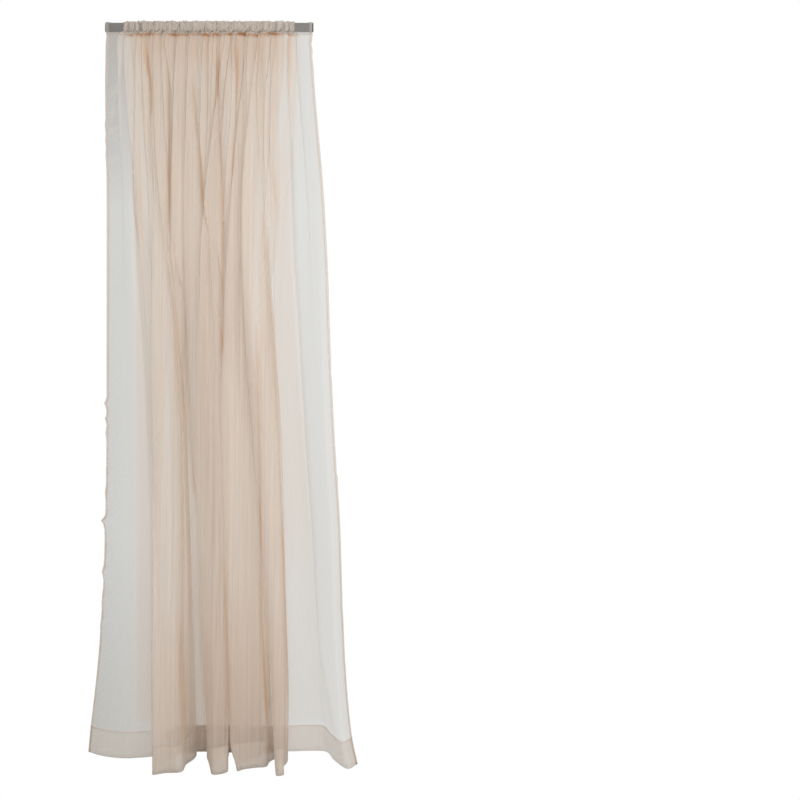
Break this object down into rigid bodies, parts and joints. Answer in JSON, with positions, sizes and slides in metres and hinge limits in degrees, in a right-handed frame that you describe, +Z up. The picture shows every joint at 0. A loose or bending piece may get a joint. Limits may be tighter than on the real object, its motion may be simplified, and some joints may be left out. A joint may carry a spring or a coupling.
{
  "type": "curtain panel on curtain rod",
  "caption": "Sheer curtain panel gathered by its rod pocket on a flat oval rod, falling in fine uneven folds that widen to a deep hem with flared side edges.",
  "frame": {"origin": "middle of the rod, on its axis", "axes": "+X along the rod to the right, +Z up, and the front of the curtain faces -Y, into the room"},
  "size_m": [0.8025, 0.1863, 2.1338],
  "materials": {
    "sheer_cloth": "soft see-through voile",
    "rod_paint": "satin grey"
  },
  "bodies": {
    "root": {"panel": "sheer_cloth", "rod": "rod_paint"}
  },
  "joints": []
}
